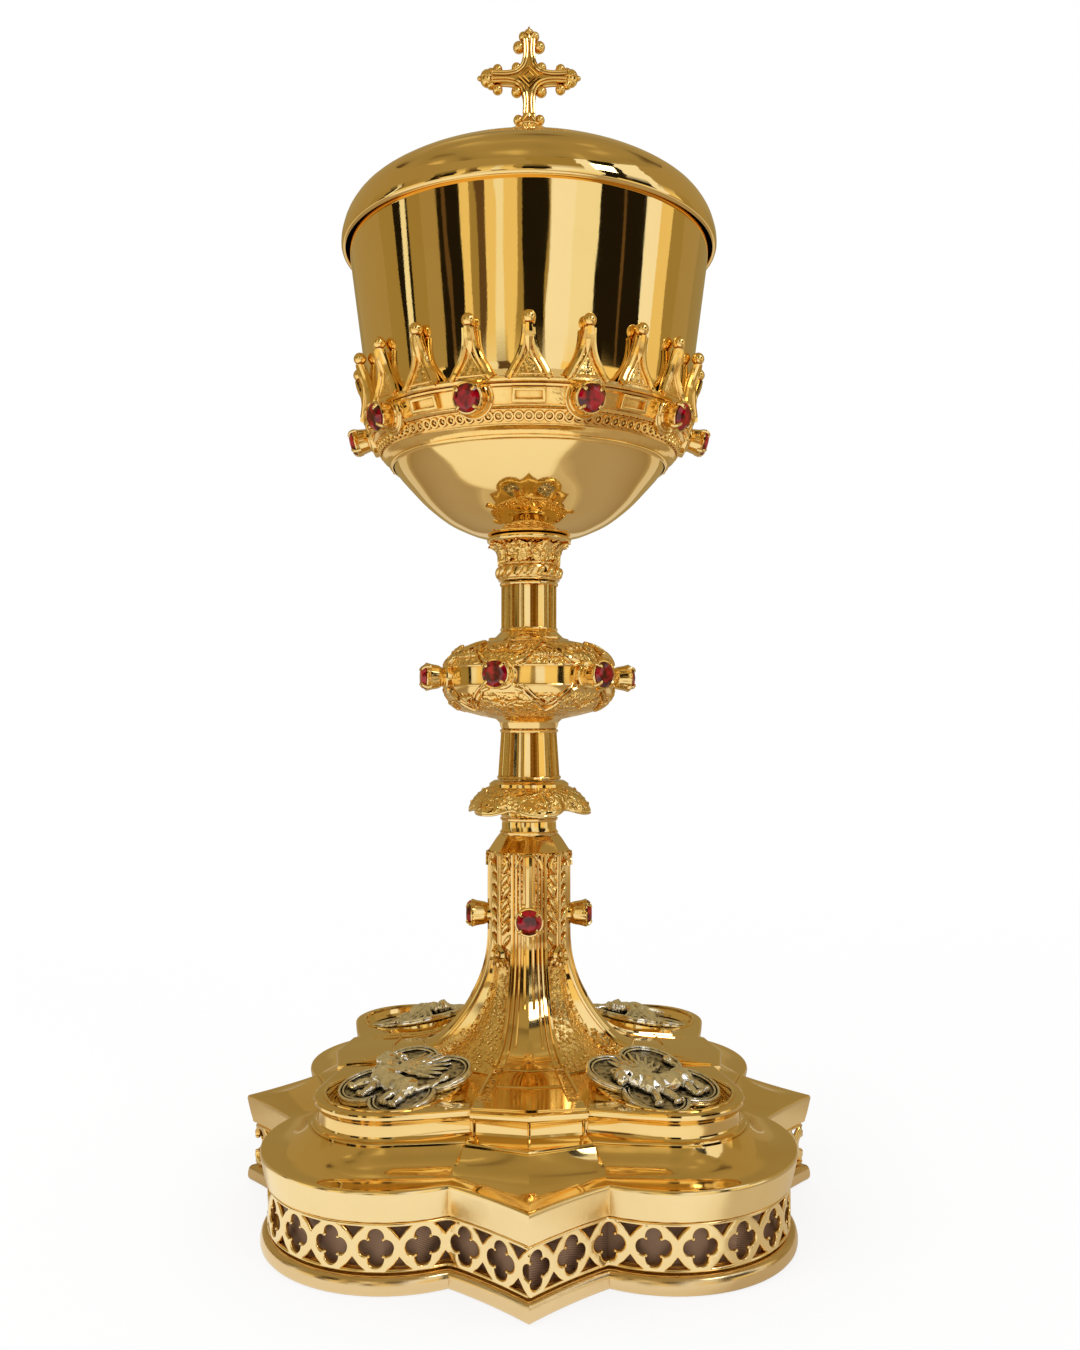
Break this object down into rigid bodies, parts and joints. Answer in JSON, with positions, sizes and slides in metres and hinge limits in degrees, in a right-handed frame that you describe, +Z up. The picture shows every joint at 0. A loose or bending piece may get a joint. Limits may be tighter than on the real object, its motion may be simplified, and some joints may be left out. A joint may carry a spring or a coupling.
{
  "type": "lidded ciborium",
  "caption": "Gilt liturgical cup with a lift-off domed lid, a crown of fleurons, a jewelled knop and a pierced four-lobed foot with silver medallions.",
  "frame": {"origin": "centre of the foot's underside, in the plane it stands on", "axes": "+Z up through the stem to the cross, -Y to the front that the cross faces, +X to the viewer's right"},
  "size_m": [0.1468, 0.1468, 0.3],
  "materials": {
    "gold_polished": "gilt, polished, with stippled matt grounds between the mouldings",
    "silver_antique": "antiqued silver relief with dark recesses",
    "garnet": "clear faceted dark red",
    "liner": "dull brown-grey sheet",
    "brass_raw": "turned brass, unpolished"
  },
  "bodies": {
    "vessel": {"base_shoulder": "gold_polished", "bowl_boss": "brass_raw", "capital": "gold_polished", "crown_gallery": "gold_polished", "crown_stone_1": "garnet", "crown_stone_10": "garnet", "crown_stone_2": "garnet", "crown_stone_3": "garnet", "crown_stone_4": "garnet", "crown_stone_5": "garnet", "crown_stone_6": "garnet", "crown_stone_7": "garnet", "crown_stone_8": "garnet", "crown_stone_9": "garnet", "cup_bowl": "gold_polished", "foot_moulding": "gold_polished", "gallery_liner": "liner", "knop": "gold_polished", "knop_collet_1": "gold_polished", "knop_collet_2": "gold_polished", "knop_collet_3": "gold_polished", "knop_collet_4": "gold_polished", "knop_collet_5": "gold_polished", "knop_collet_6": "gold_polished", "knop_stone_1": "garnet", "knop_stone_2": "garnet", "knop_stone_3": "garnet", "knop_stone_4": "garnet", "knop_stone_5": "garnet", "knop_stone_6": "garnet", "leaf_collar": "gold_polished", "lower_column": "gold_polished", "medallion_back_left": "silver_antique", "medallion_back_right": "silver_antique", "medallion_front_left": "silver_antique", "medallion_front_right": "silver_antique", "medallion_tier": "gold_polished", "pierced_gallery": "gold_polished", "stem_collet_back": "gold_polished", "stem_collet_front": "gold_polished", "stem_collet_left": "gold_polished", "stem_collet_right": "gold_polished", "stem_nut": "brass_raw", "stem_stone_back": "garnet", "stem_stone_front": "garnet", "stem_stone_left": "garnet", "stem_stone_right": "garnet", "stem_washer": "brass_raw", "tie_rod": "brass_raw", "trumpet_stem": "gold_polished", "upper_column": "gold_polished"},
    "lid": {"lid_dome": "gold_polished", "lid_seat_ring": "gold_polished", "finial_cross": "gold_polished", "finial_washer": "brass_raw", "finial_nut": "brass_raw"}
  },
  "joints": [
    {"name": "lid_lift", "type": "slide", "parent": "vessel", "child": "lid", "axis": [0, 0, 1], "range_m": [0, 0.1]}
  ]
}
